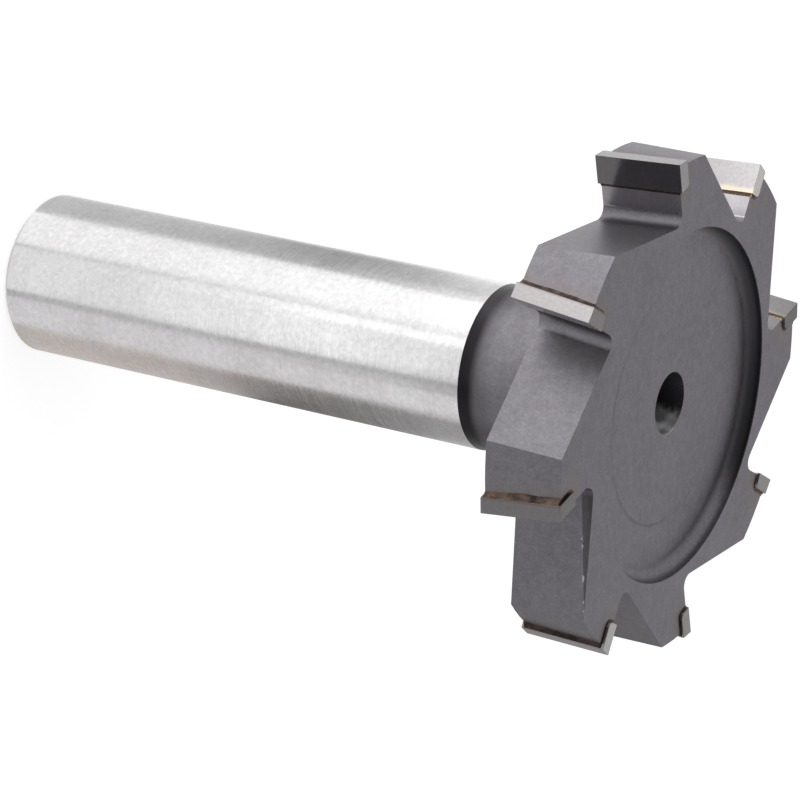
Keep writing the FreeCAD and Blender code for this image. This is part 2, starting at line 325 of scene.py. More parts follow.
def side_distance(tree, place, azimuth):
    """How far the place lies from the axis towards an azimuth."""
    node = tree.nodes.new("ShaderNodeVectorMath")
    node.operation = "DOT_PRODUCT"
    link(tree, place, node.inputs[0])
    node.inputs[1].default_value = (math.cos(azimuth), math.sin(azimuth), 0.0)
    return node.outputs["Value"]


def attribute_node(tree, name):
    """The node that reads one of the piece's own attributes."""
    node = tree.nodes.new("ShaderNodeAttribute")
    node.attribute_name = name
    return node


def painted_flat_light(tree, colour):
    """A colour times the face's own tone, which is painted light and shade on a few flats."""
    return mix_colour(tree, 1.0, colour, attribute_node(tree, "tone").outputs["Color"], "MULTIPLY")


def own_values(tree, name):
    """The three values of a piece's own vector attribute."""
    node = tree.nodes.new("ShaderNodeSeparateXYZ")
    link(tree, attribute_node(tree, name).outputs["Vector"], node.inputs[0])
    return node.outputs


# Materials

def ground_steel():
    """Bright steel from a cylindrical grinder: fine rings round the shank and small specks."""
    material, tree, shader = new_material("ground_steel")
    place = object_place(tree)
    rings = noise(tree, scaled_place(tree, place, (60.0, 60.0, 9000.0)), 1.0, 4.0, 0.6)
    specks = noise(tree, place, 2600.0, 2.0, 0.6)
    clouds = noise(tree, place, 260.0, 2.0, 0.5)
    tone = mix_colour(tree, remap(tree, clouds, 0.35, 0.65, 0.0, 1.0),
                      (0.57, 0.56, 0.565, 1.0), (0.62, 0.615, 0.62, 1.0))
    dulled = mix_colour(tree, remap(tree, specks, 0.5, 0.3, 0.0, 0.3), tone, (0.42, 0.405, 0.41, 1.0))
    spotted = mix_colour(tree, remap(tree, specks, 0.52, 0.7, 0.0, 0.3), dulled, (0.76, 0.75, 0.75, 1.0))
    link(tree, spotted, shader.inputs["Base Color"])
    link(tree, remap(tree, rings, 0.3, 0.7, 0.2, 0.3), shader.inputs["Roughness"])
    height = math_node(tree, "ADD", rings, product(tree, specks, 0.4))
    link(tree, bump(tree, height, 0.25, 0.004 * MM), shader.inputs["Normal"])
    shader.inputs["Metallic"].default_value = 1.0
    shader.inputs["Anisotropic"].default_value = 0.9
    shader.inputs["Anisotropic Rotation"].default_value = 0.25
    return material


def blasted_tone(tree, pits, grain, clouds):
    """The blasted surface's own colour: two soft tones, with lighter grain and darker pits."""
    tone = mix_colour(tree, remap(tree, clouds, 0.3, 0.7, 0.0, 1.0),
                      (0.145, 0.137, 0.151, 1.0), (0.172, 0.164, 0.180, 1.0))
    coarse = mix_colour(tree, remap(tree, grain, 0.3, 0.7, 0.0, 0.55), tone, (0.222, 0.212, 0.23, 1.0))
    return mix_colour(tree, remap(tree, pits, 0.6, 0.4, 0.0, 0.32), coarse, (0.1, 0.094, 0.105, 1.0))


def heat_tint(tree, place, clouds, colour):
    """A colour browned round each tip by the brazing heat, with an edge that wanders."""
    across, ahead, _ = tooth_place(tree, place)
    wandering = math_node(tree, "MULTIPLY_ADD", clouds, 2.2 * MM, distance_from_tip(tree, across, ahead))
    heat = remap(tree, wandering, 1.1 * MM, 3.0 * MM, 0.5, 0.0, smooth=True)
    return mix_colour(tree, heat, colour, (0.185, 0.155, 0.145, 1.0))


def turned_ring(tree, place, radius, along):
    """A mask of the faint ring that the lathe left on the recess floor. It is strongest towards one side, which
    is painted shade.
    """
    off_ring = beyond(tree, radius, RING_RADIUS, 0.0)
    off_floor = beyond(tree, along, RECESS_FLOOR, 0.0)
    ring = product(tree, remap(tree, off_ring, 0.03 * MM, 0.2 * MM, 1.0, 0.0, smooth=True),
                   remap(tree, off_floor, 0.05 * MM, 0.1 * MM, 1.0, 0.0))
    # Painted shade: the ring darkest towards one side
    side = side_distance(tree, place, RING_SHADE_SIDE)
    return product(tree, ring, remap(tree, side, -3.0 * MM, 5.0 * MM, 0.15, 1.0, smooth=True))


def bore_light_and_shade(tree, place, radius, along, grain, colour):
    """A colour with painted shade down the centre bore and a painted lit patch on one side, and the lit patch's
    mask.
    """
    inside = remap(tree, radius, BORE_RADIUS, BORE_RADIUS + 0.05 * MM, 1.0, 0.0)
    deep = remap(tree, along, RECESS_FLOOR - 2.4 * MM, RECESS_FLOOR - 0.5 * MM, 0.4, 0.0)
    bore_shaded = mix_colour(tree, product(tree, inside, deep), colour, PAINTED_SHADE)
    # Painted light: a lighter patch on one side of the bore
    wavy = math_node(tree, "MULTIPLY_ADD", grain, 1.2 * MM, side_distance(tree, place, BORE_LIT_SIDE))
    bore_lit = product(tree, remap(tree, wavy, 2.0 * MM, 2.6 * MM, 0.0, 1.0, smooth=True), inside)
    swirl = noise(tree, place, 620.0, 1.0, 0.5)
    bore_lit_colour = mix_colour(tree, remap(tree, swirl, 0.42, 0.62, 0.0, 1.0), (0.19, 0.183, 0.19, 1.0), BURR_AND_LIT_PATCH_METAL)
    return mix_colour(tree, bore_lit, bore_shaded, bore_lit_colour), bore_lit


def corner_shade(tree, place, radius, along, colour):
    """A colour with painted shade, near black, in the recess's corner, on its far side only."""
    off_corner = beyond(tree, radius, RECESS_RADIUS, 0.0)
    in_corner = remap(tree, off_corner, 0.15 * MM, 1.05 * MM, 0.9, 0.0, smooth=True)
    below_face = remap(tree, along, HEAD_FRONT - 0.03 * MM, HEAD_FRONT - 0.12 * MM, 0.0, 1.0)
    side = side_distance(tree, place, CORNER_SHADE_SIDE)
    far = remap(tree, side, 4.5 * MM, 9.0 * MM, 0.0, 1.0, smooth=True)
    return mix_colour(tree, product(tree, product(tree, in_corner, below_face), far), colour, PAINTED_SHADE)


def neck_shade(tree, place, along, colour):
    """A colour with painted shade, near black in the relief and darker up the neck's foot, and the relief's
    mask.

    The relief is a little lighter opposite the shaded side, and the neck's shade reaches furthest
    on that side.
    """
    side = side_distance(tree, place, SHADED_SIDE)
    foot = remap(tree, along, RELIEF_END - 0.35 * MM, RELIEF_END + 0.5 * MM, 1.0, 0.0, smooth=True)
    relief = product(tree, foot, remap(tree, side, -6.0 * MM, -3.5 * MM, 0.7, 1.0, smooth=True))
    reach = product(tree, math_node(tree, "SUBTRACT", along, RELIEF_END),
                    remap(tree, side, -2.0 * MM, 5.0 * MM, 1.0, 0.36, smooth=True))
    shade = remap(tree, reach, 0.0, 1.6 * MM, 0.62, 0.0, smooth=True)
    shaded = mix_colour(tree, shade, colour, (0.07, 0.064, 0.07, 1.0))
    return mix_colour(tree, relief, shaded, (0.018, 0.016, 0.018, 1.0)), relief


def facet_marks(tree, place, along, colour):
    """A colour that is duller on the gullet's narrow facet, with bright burrs along its start.

    The share runs from 0 at the land's corner to 1 at the seat. The facet starts at the head's
    front less its width times the share.
    """
    _, ahead, _ = tooth_place(tree, place)
    share = math_node(tree, "DIVIDE", math_node(tree, "SUBTRACT", CORNER_Y, ahead), CORNER_Y - SEAT_Y)
    start = math_node(tree, "MULTIPLY_ADD", share, -FACET_WIDTH, HEAD_FRONT)
    inside = math_node(tree, "SUBTRACT", along, start)
    shaded = mix_colour(tree, remap(tree, inside, 0.0, 0.03 * MM, 0.0, 0.72), colour, (0.06, 0.056, 0.062, 1.0))
    on_line = remap(tree, beyond(tree, inside, 0.0, 0.0), 0.03 * MM, 0.1 * MM, 1.0, 0.0, smooth=True)
    burrs = remap(tree, noise(tree, place, 1900.0, 2.0, 0.6), 0.57, 0.67, 0.0, 0.65)
    burrs = product(tree, burrs, remap(tree, share, 0.55, 0.75, 1.0, 0.0))
    return mix_colour(tree, product(tree, on_line, burrs), shaded, BURR_AND_LIT_PATCH_METAL)


def blasted_steel(name="blasted_steel", faceted=False):
    """Dark steel blasted with fine beads, with painted shade near black in the relief beside the shank.

    It is browned round each tip and has one faint turned ring on the recess floor, whose darkening is partly
    painted shade. Painted shade darkens the centre bore, the recess's far corner and the neck's foot, and a
    painted lit patch on one side of the bore isn't metallic. A few flats carry painted light and shade in their
    own tone. A faceted one has its gullet's facet and burrs.
    """
    material, tree, shader = new_material(name)
    place = object_place(tree)
    along = height_along(tree, place)
    radius = axis_radius(tree, place)
    pits = noise(tree, place, 5200.0, 3.0, 0.6)
    grain = noise(tree, place, 1500.0, 3.0, 0.6)
    clouds = noise(tree, place, 180.0, 2.0, 0.5)
    ring = turned_ring(tree, place, radius, along)
    colour = heat_tint(tree, place, clouds, blasted_tone(tree, pits, grain, clouds))
    # The ring's darkening is partly the mark's own colour and partly painted shade
    ring_mark_and_shade = product(tree, ring, remap(tree, clouds, 0.4, 0.6, 0.1, 0.42))
    colour = mix_colour(tree, ring_mark_and_shade, colour, (0.06, 0.055, 0.06, 1.0))
    colour, bore_lit = bore_light_and_shade(tree, place, radius, along, grain, colour)
    colour = corner_shade(tree, place, radius, along, colour)
    colour, relief = neck_shade(tree, place, along, colour)
    if faceted:
        colour = facet_marks(tree, place, along, colour)
    height = product(tree, math_node(tree, "MULTIPLY_ADD", grain, 0.8, pits), 0.004 * MM)
    height = math_node(tree, "MULTIPLY_ADD", ring, -0.006 * MM, height)
    link(tree, painted_flat_light(tree, colour), shader.inputs["Base Color"])
    link(tree, remap(tree, relief, 0.0, 1.0, 0.45, 0.35), shader.inputs["Roughness"])
    # The bore's painted lit patch isn't metallic
    link(tree, remap(tree, bore_lit, 0.0, 1.0, 1.0, 0.0), shader.inputs["Metallic"])
    link(tree, bump(tree, height, 0.7, 1.0), shader.inputs["Normal"])
    return material


def milled_steel():
    """The milled seat under a tip: smooth steel with fine straight tool marks across it.

    Painted shade darkens it towards the gullet's root, and a painted dark line of shade runs along the end of
    the second tooth's seat. Its flat's own tone is painted light, much lighter on the eighth seat.
    """
    material, tree, shader = new_material("milled_steel")
    place = object_place(tree)
    marks = noise(tree, scaled_place(tree, place, (300.0, 300.0, 9000.0)), 1.0, 3.0, 0.6)
    stain = noise(tree, place, 500.0, 2.0, 0.5)
    tone = mix_colour(tree, remap(tree, stain, 0.35, 0.7, 0.0, 1.0),
                      (0.26, 0.247, 0.26, 1.0), (0.22, 0.208, 0.22, 1.0))
    across, _, lead = tooth_place(tree, place)
    # Painted shade towards the gullet's root
    root_shaded = mix_colour(tree, remap(tree, across, LEDGE_X - 2.4 * MM, LEDGE_X - 0.8 * MM, 0.45, 0.0),
                        tone, (0.11, 0.104, 0.112, 1.0))
    # A painted dark line of shade at the end of the second tooth's seat
    at_end = remap(tree, across, SEAT_END_X + 0.08 * MM, SEAT_END_X + 0.35 * MM, 0.85, 0.0, smooth=True)
    second = product(tree, remap(tree, lead, 0.0, 1.0, 0.0, 1.0),
                     remap(tree, side_distance(tree, place, PITCH), 2.0 * MM, 8.0 * MM, 0.0, 1.0))
    end_shaded = mix_colour(tree, product(tree, at_end, second), root_shaded, (0.025, 0.023, 0.025, 1.0))
    link(tree, painted_flat_light(tree, end_shaded), shader.inputs["Base Color"])
    link(tree, remap(tree, marks, 0.3, 0.7, 0.26, 0.32), shader.inputs["Roughness"])
    link(tree, bump(tree, marks, 0.03, 0.004 * MM), shader.inputs["Normal"])
    shader.inputs["Metallic"].default_value = 1.0
    return material


def hard_tip():
    """Ground sintered carbide: light warm grey with fine parallel grinding marks.

    The tip's own "ground" values are its flat's tone, which is painted light and shade for the light each flat
    mirrors, its roughness, and how much gold film the rake has at its foot. The film's edge drifts, and the
    tip's back edge is browned by the braze.
    """
    material, tree, shader = new_material("hard_tip")
    place = object_place(tree)
    marks = noise(tree, scaled_place(tree, place, (2500.0, 2500.0, 14000.0)), 1.0, 3.0, 0.6)
    grain = noise(tree, place, 4200.0, 2.0, 0.6)
    tone = mix_colour(tree, remap(tree, grain, 0.35, 0.7, 0.0, 1.0),
                      (0.272, 0.26, 0.262, 1.0), (0.312, 0.30, 0.302, 1.0))
    across, ahead, _ = tooth_place(tree, place)
    flat_light_level, own_roughness, gold = own_values(tree, "ground")
    drift = math_node(tree, "MULTIPLY_ADD", noise(tree, place, 900.0, 2.0, 0.5), 0.35 * MM, across)
    foot = remap(tree, drift, TIP_FLOOR_X + 0.3 * MM, TIP_FLOOR_X + 0.75 * MM, 0.85, 0.0, smooth=True)
    on_rake = remap(tree, ahead, RAKE_Y - 0.25 * MM, RAKE_Y - 0.05 * MM, 0.0, 1.0)
    film = product(tree, product(tree, foot, on_rake), gold)
    filmed = mix_colour(tree, film, tone, (0.5, 0.41, 0.31, 1.0))
    behind = remap(tree, ahead, TIP_BACK_Y + 0.02 * MM, TIP_BACK_Y + 0.2 * MM, 0.45, 0.0, smooth=True)
    edged = mix_colour(tree, behind, filmed, (0.16, 0.13, 0.11, 1.0))
    # The flat's painted light and shade, as a factor on the colour
    level = tree.nodes.new("ShaderNodeCombineXYZ")
    for side in range(3):
        link(tree, flat_light_level, level.inputs[side])
    link(tree, mix_colour(tree, 1.0, edged, level.outputs[0], "MULTIPLY"), shader.inputs["Base Color"])
    lay = remap(tree, marks, 0.3, 0.7, -0.03, 0.03)
    link(tree, math_node(tree, "ADD", own_roughness, lay), shader.inputs["Roughness"])
    link(tree, bump(tree, marks, 0.25, 0.004 * MM), shader.inputs["Normal"])
    shader.inputs["Metallic"].default_value = 1.0
    return material


def braze_metal():
    """Braze alloy: light gold where it wetted the rake's foot, browned by the flame elsewhere.

    The braze's own "seam" values are how much gold it shows at the foot and how brown it is, partly its own
    look and partly painted shade.
    """
    material, tree, shader = new_material("braze_metal")
    place = object_place(tree)
    across, ahead, _ = tooth_place(tree, place)
    patches = noise(tree, place, 900.0, 3.0, 0.6)
    grain = noise(tree, place, 6000.0, 2.0, 0.6)
    tone = mix_colour(tree, remap(tree, patches, 0.38, 0.64, 0.0, 1.0),
                      (0.035, 0.026, 0.023, 1.0), (0.15, 0.107, 0.083, 1.0))
    at_foot = product(tree, remap(tree, ahead, RAKE_Y - 0.4 * MM, RAKE_Y - 0.25 * MM, 0.0, 1.0),
                      remap(tree, across, LEDGE_X - 0.06 * MM, LEDGE_X - 0.01 * MM, 0.0, 1.0))
    gold, brown, _ = own_values(tree, "seam")
    browned = mix_colour(tree, brown, (0.016, 0.013, 0.012, 1.0), tone)
    gilded = mix_colour(tree, product(tree, at_foot, gold), browned, (0.5, 0.4, 0.3, 1.0))
    link(tree, gilded, shader.inputs["Base Color"])
    rough = remap(tree, grain, 0.3, 0.7, 0.35, 0.55)
    link(tree, math_node(tree, "MULTIPLY_ADD", at_foot, -0.15, rough), shader.inputs["Roughness"])
    link(tree, bump(tree, grain, 0.3, 0.006 * MM), shader.inputs["Normal"])
    shader.inputs["Metallic"].default_value = 1.0
    return material


# Pieces

def tooth_to_frame(points, number):
    """Points from a tooth's own place to the frame: turned by its angle and rake, plus its lean."""
    angle = (number - 1) * PITCH
    turn = angle + RAKE_ANGLE
    lead = 1.0 if number % 2 == 0 else -1.0
    lean = lead * math.tan(SHEAR_ANGLE) * (points[..., 2] - HEAD_MIDDLE)
    x = points[..., 0] * math.cos(turn) - points[..., 1] * math.sin(turn) - lean * math.sin(angle)
    y = points[..., 0] * math.sin(turn) + points[..., 1] * math.cos(turn) + lean * math.cos(angle)
    return np.stack([x, y, points[..., 2]], axis=-1)


def facet_wedge(number):
    """The metal that the milling cutter's run-in takes off beside a gullet's front edge.

    Its underside is the plane at height z and distance t down the slope from the land's corner
    that lies tan(FACET_TILT) * (z - front + width * t / length) under the slope. Near the root it
    turns up out of the slope in an arc, and its top runs clear of the slope.
    """
    down = np.array([-math.cos(SLOPE_ANGLE), -math.sin(SLOPE_ANGLE)])
    out = np.array([math.sin(SLOPE_ANGLE), -math.cos(SLOPE_ANGLE)])
    corner = np.array([CORNER_X, CORNER_Y])
    length = (CORNER_Y - SEAT_Y) / math.sin(SLOPE_ANGLE)
    start, finish = -0.5 * MM, length - FACET_STOP
    bend = np.linspace(0.0, math.pi / 2, BEND_STEPS)
    along = np.concatenate([[start], finish + FACET_ROUND * np.sin(bend)])
    rise = np.concatenate([[0.0], FACET_ROUND * (1 - np.cos(bend))])
    rows = []
    for height in (HEAD_FRONT - 1.5 * FACET_WIDTH, HEAD_FRONT + FACET_WIDTH):
        sunk = math.tan(FACET_TILT) * (height - HEAD_FRONT + FACET_WIDTH * np.minimum(along, finish) / length)
        under = corner + np.outer(along, down) + np.outer(rise - sunk, out)
        above = corner + np.outer([along[-1], start], down) + WEDGE_TOP * out
        ring = np.concatenate([under, above])
        rows.append(np.column_stack([ring, np.full(len(ring), height)]))
    points = tooth_to_frame(np.concatenate(rows), number)
    count = len(rows[0])
    faces = [tuple(range(count)), tuple(range(2 * count - 1, count - 1, -1))]
    for index in range(count):
        after = (index + 1) % count
        faces += [(index, count + index, count + after), (index, count + after, after)]
    return points, faces


def cut_facet(shape):
    """Take the facet's wedge off a bmesh by an exact boolean, and give the new bmesh."""
    points, faces = facet_wedge(FACET_TOOTH)
    tool = bpy.data.meshes.new("facet_tool")
    tool.from_pydata(points.tolist(), [], faces)
    tool_shape = bmesh.new()
    tool_shape.from_mesh(tool)
    bmesh.ops.recalc_face_normals(tool_shape, faces=tool_shape.faces)
    tool_shape.to_mesh(tool)
    tool_shape.free()
    blank = bpy.data.meshes.new("facet_blank")
    shape.to_mesh(blank)
    shape.free()
    holders = [bpy.data.objects.new(mesh.name, mesh) for mesh in (blank, tool)]
    for holder in holders:
        bpy.context.scene.collection.objects.link(holder)
    cut = holders[0].modifiers.new("facet", "BOOLEAN")
    cut.operation = "DIFFERENCE"
    cut.solver = "EXACT"
    cut.object = holders[1]
    bpy.context.view_layer.update()
    graph = bpy.context.evaluated_depsgraph_get()
    result = bmesh.new()
    result.from_mesh(holders[0].evaluated_get(graph).to_mesh())
    for holder in holders:
        bpy.data.objects.remove(holder)
    bmesh.ops.remove_doubles(result, verts=result.verts, dist=MERGE)
    return result


def on_recess_rim(edge):
    """Whether an edge lies on the recess's rim, which stays crisp."""
    return all(abs(vert.co.xy.length - RECESS_RADIUS) < 0.02 * MM and vert.co.z > HEAD_FRONT - 0.01 * MM
               for vert in edge.verts)


def finished_copy(node_name, piece_name, edge_break, faceted=False):
    """A copy of a node's mesh as a new piece: points merged, flats joined, sharp edges broken.

    The edge break is a rounded bevel of the given width on every edge sharper than SHARP.
    """
    source = nodes[node_name]
    shape = bmesh.new()
    shape.from_mesh(source.data)
    bmesh.ops.remove_doubles(shape, verts=shape.verts, dist=MERGE)
    if faceted:
        shape = cut_facet(shape)
    bmesh.ops.dissolve_limit(shape, angle_limit=LEVEL, verts=shape.verts, edges=shape.edges, delimit=set())
    sharp = [edge for edge in shape.edges
             if edge.is_manifold and edge.calc_face_angle() > SHARP and not on_recess_rim(edge)]
    bmesh.ops.bevel(shape, geom=sharp, offset=edge_break, offset_type="OFFSET", segments=EDGE_STEPS,
                    profile=0.5, affect="EDGES", clamp_overlap=True)
    for face in shape.faces:
        face.smooth = True
    mesh = bpy.data.meshes.new(piece_name)
    shape.to_mesh(mesh)
    shape.free()
    mesh.set_sharp_from_angle(angle=STEEL_SMOOTH)
    piece = bpy.data.objects.new(piece_name, mesh)
    flats = piece.modifiers.new("flats", "WEIGHTED_NORMAL")
    flats.keep_sharp = True
    bpy.context.scene.collection.objects.link(piece)
    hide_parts(node_name)
    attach(piece, "root")
    return piece


def face_centres(mesh):
    """Every face's centre, as one array."""
    centres = np.empty(len(mesh.polygons) * 3)
    mesh.polygons.foreach_get("center", centres)
    return centres.reshape(-1, 3)


def own_place(points):
    """Points in their tooth's own place, as the tooth_place group works it out, and its number."""
    number = np.floor((np.arctan2(points[:, 1], points[:, 0]) + TOOTH_ADVANCE) / PITCH)
    odd = np.mod(number, 2) == 0
    angle = number * PITCH
    lean = np.where(odd, -1.0, 1.0) * math.tan(SHEAR_ANGLE) * (points[:, 2] - HEAD_MIDDLE)
    x = points[:, 0] + lean * np.sin(angle)
    y = points[:, 1] - lean * np.cos(angle)
    turn = angle + RAKE_ANGLE
    across = x * np.cos(turn) + y * np.sin(turn)
    ahead = y * np.cos(turn) - x * np.sin(turn)
    return across, ahead, np.mod(number, TEETH) + 1


def finish_body_faces(mesh):
    """Give each of the body's faces its material's place in the list, and its own tone, which is painted light
    and shade on a few flats.

    A seat is a face of the head in the seat's plane, inwards of the tip. A gullet's slope is a
    face near the slope's plane, between the seat and the land's corner. The fillet joins the two.
    """
    centres = face_centres(mesh)
    height = centres[:, 2]
    across, ahead, number = own_place(centres)
    near, near_slope = 0.02 * MM, 0.4 * MM
    in_head = (height > HEAD_BACK) & (height < HEAD_FRONT - near)
    seat = in_head & (np.abs(ahead - SEAT_Y) < near) & (across < LEDGE_X)
    off_slope = (across - CORNER_X) * math.sin(SLOPE_ANGLE) - (ahead - CORNER_Y) * math.cos(SLOPE_ANGLE)
    slope = in_head & ~seat & (ahead > SEAT_Y) & (ahead < CORNER_Y) & (np.abs(off_slope) < near_slope)
    fillet = (in_head & (ahead > SEAT_Y + near) & (ahead < SEAT_Y + ROOT_RADIUS)
              & (across < SEAT_END_X + near))
    face = (height > RECESS_FLOOR - near) & (height < HEAD_FRONT + near) & ~slope & ~seat
    kind = np.zeros(len(centres), dtype=np.int32)
    kind[height < SHANK_LENGTH] = 1
    kind[seat] = 2
    kind[slope & (number == FACET_TOOTH)] = 3
    mesh.polygons.foreach_set("material_index", kind)
    # Painted light and shade: the face lighter, the fourth slope and first fillet darker, the eighth seat a
    # painted highlight
    tone = np.ones(len(centres))
    tone[slope & (number == 4)] = FOURTH_SLOPE_PAINTED_SHADE
    tone[face] = FACE_PAINTED_LIGHT
    tone[seat & (number == 8)] = EIGHTH_SEAT_PAINTED_HIGHLIGHT
    tone[fillet & (number == 1)] = FIRST_FILLET_PAINTED_SHADE
    layer = mesh.attributes.new("tone", "FLOAT", "FACE")
    layer.data.foreach_set("value", tone)


def make_body():
    """Shank, neck and head: ground steel up to the relief, blasted steel beyond it."""
    body = finished_copy("cutter_body", "body_finish", BODY_BREAK, faceted=True)
    for material in (blasted_steel(), ground_steel(), milled_steel(), blasted_steel("faceted_steel", True)):
        body.data.materials.append(material)
    finish_body_faces(body.data)


def curve_between(start, corner, end, steps=6):
    """A curve from start to end that leans towards the corner.

    Each point is (1-u)^2 of the start, 2u(1-u) of the corner and u^2 of the end.
    """
    u = np.linspace(0.0, 1.0, steps)[:, None]
    start, corner, end = (np.asarray(point, dtype=float) for point in (start, corner, end))
    return (1 - u) ** 2 * start + 2 * u * (1 - u) * corner + u ** 2 * end


def braze_section(reach, run_out):
    """The braze's outline on its tooth: round the tip's back and floor, with a fillet at each end.

    The fillets' reach is their size as a share of the plain one, and the run-out scales the fillet
    behind the tip once more.
    """
    land = math.sqrt(HEAD_RADIUS ** 2 - TIP_BACK_Y ** 2)
    skin = 0.01 * MM
    round_in = TIP_CORNER_RADIUS
    round_out = TIP_CORNER_RADIUS + BRAZE_THICKNESS
    heel = (TIP_HEEL_X - 0.02 * MM, TIP_BACK_Y + skin)
    tail_y = WALL_Y - HEEL_REACH * reach * run_out
    tail = (math.sqrt(HEAD_RADIUS ** 2 - tail_y ** 2) - skin, tail_y)
    foot = (LEDGE_X - FOOT_REACH * reach, SEAT_Y - skin)
    toe = (TIP_FLOOR_X + 0.03 * MM * reach, RAKE_Y + skin)
    runs = [
        curve_between(heel, (land + 0.06 * MM, WALL_Y + 0.05 * MM), tail),
        np.array([(land - 0.15 * MM, WALL_Y)]),
        curve_between((LEDGE_X + round_out, WALL_Y), (LEDGE_X, WALL_Y), (LEDGE_X, WALL_Y + round_out)),
        np.array([(LEDGE_X, SEAT_Y - 0.2 * MM)]),
        curve_between(foot, (TIP_FLOOR_X - 0.1 * MM, SEAT_Y + 0.05 * MM), toe),
        np.array([(TIP_FLOOR_X + 0.01 * MM, RAKE_Y - 0.1 * MM)]),
        curve_between((TIP_FLOOR_X, TIP_BACK_Y + round_in), (TIP_FLOOR_X, TIP_BACK_Y),
                      (TIP_FLOOR_X + round_in, TIP_BACK_Y)),
    ]
    return np.concatenate(runs)


def make_braze(number, material):
    """The braze of one tip: its section carried through the head along the tooth's lean.

    The fillets' reach waves gently along the seam: 1 + 0.25 sin(a) + 0.12 sin(b), with a and b
    turning at two rates and starting at phases that differ from tooth to tooth. The point at
    height z is the tooth's corner turned by its angle, plus the lean times the height.
    """
    stations = 33
    heights = np.linspace(HEAD_BACK - BRAZE_SWELL, HEAD_FRONT + BRAZE_SWELL, stations)
    long_wave = 0.25 * np.sin(heights / (0.9 * MM) + number * 1.7)
    short_wave = 0.12 * np.sin(heights / (0.34 * MM) + number * 4.1)
    waves = 1 + long_wave + short_wave
    sections = np.stack([braze_section(wave, SEAMS[number - 1][2]) for wave in waves])
    z = np.broadcast_to(heights[:, None, None], (*sections.shape[:2], 1))
    points = tooth_to_frame(np.concatenate([sections, z], axis=-1), number)
    around = sections.shape[1]
    index = np.arange(stations * around).reshape(stations, around)
    after = np.roll(index, -1, axis=1)
    quads = np.stack([index[:-1], after[:-1], after[1:], index[1:]], axis=-1).reshape(-1, 4).tolist()
    caps = [index[0][::-1].tolist(), index[-1].tolist()]
    mesh = bpy.data.meshes.new(f"braze_{number}_finish")
    mesh.from_pydata(points.reshape(-1, 3).tolist(), [], quads + caps)
    shape = bmesh.new()
    shape.from_mesh(mesh)
    bmesh.ops.recalc_face_normals(shape, faces=shape.faces)
    for face in shape.faces:
        face.smooth = True
    shape.to_mesh(mesh)
    shape.free()
    mesh.set_sharp_from_angle(angle=BRAZE_SMOOTH)
    mesh.materials.append(material)
    seam = mesh.attributes.new("seam", "FLOAT_VECTOR", "POINT")
    seam.data.foreach_set("vector", np.tile(SEAMS[number - 1], len(mesh.vertices)))
    piece = bpy.data.objects.new(mesh.name, mesh)
    bpy.context.scene.collection.objects.link(piece)
    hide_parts(f"braze_seam_{number}")
    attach(piece, "root")


def grind_faces(mesh, number):
    """Give each flat of a tip its "ground" values: tone, which is painted light and shade, roughness and the
    rake foot's gold film.

    A flat is a side where its normal runs along the axis, the rake face where the normal points
    towards the cut, and the relieved top otherwise.
    """
    normals = np.empty(len(mesh.polygons) * 3)
    mesh.polygons.foreach_get("normal", normals)
    normals = normals.reshape(-1, 3)
    cut_way = (number - 1) * PITCH + RAKE_ANGLE + math.pi / 2
    facing = normals[:, 0] * math.cos(cut_way) + normals[:, 1] * math.sin(cut_way)
    kind = np.where(np.abs(normals[:, 2]) > 0.7, 2, np.where(facing > 0.7, 0, 1))
    # The tones are painted light and shade: each kind of flat lighter or darker for the light it mirrors
    *tones, gold = TIP_PAINTED_LIGHT_AND_FILM[number - 1]
    values = np.column_stack([np.array(tones)[kind], np.array(FLAT_ROUGHNESS)[kind], np.full(len(kind), gold)])
    layer = mesh.attributes.new("ground", "FLOAT_VECTOR", "FACE")
    layer.data.foreach_set("vector", values.ravel())


def make_tips():
    """The eight hard tips and the braze round them."""
    carbide = hard_tip()
    braze = braze_metal()
    for number in range(1, TEETH + 1):
        tip = finished_copy(f"carbide_tip_{number}", f"tip_{number}_finish", TIP_BREAK)
        tip.data.materials.append(carbide)
        grind_faces(tip.data, number)
        make_braze(number, braze)


# Stage

# The camera's place in metres, its turn in degrees, its lens in millimetres and its azimuth
CAMERA_PLACE = (0.11930477, 0.19635765, 0.15982958)
CAMERA_TURN = (-21.44195, -58.91506, -97.64374)
CAMERA_LENS = 155.481
CAMERA_AZIMUTH = math.radians(58.7)

# The floor lies just under the shank's end, and the cards that the steel mirrors just over it
FLOOR_HALF = 2.0
FLOOR_DROP = 0.05 * MM
CARD_LIFT = 0.02 * MM
SHANK_RADIUS = 6.35 * MM
FLAG_DISTANCE = 0.3
BROWN = (1.0, 0.92, 0.88, 1.0)


def make_camera():
    """The camera at the photograph's own place, turn and lens."""
    data = bpy.data.cameras.new("view")
    data.lens = CAMERA_LENS
    data.sensor_width = 36.0
    data.clip_start = 0.01
    camera = bpy.data.objects.new("view", data)
    camera.location = CAMERA_PLACE
    camera.rotation_euler = Euler([math.radians(turn) for turn in CAMERA_TURN], "XYZ")
    bpy.context.scene.collection.objects.link(camera)
    bpy.context.scene.camera = camera


def shown_strength(tree, seen, mirrored):
    """A strength for the rays that show the background: seen directly or through glass, or mirrored."""
    path = tree.nodes.new("ShaderNodeLightPath")
    direct = math_node(tree, "MAXIMUM", path.outputs["Is Camera Ray"], path.outputs["Is Transmission Ray"])
    return math_node(tree, "MAXIMUM", product(tree, direct, seen),
                     product(tree, path.outputs["Is Glossy Ray"], mirrored))


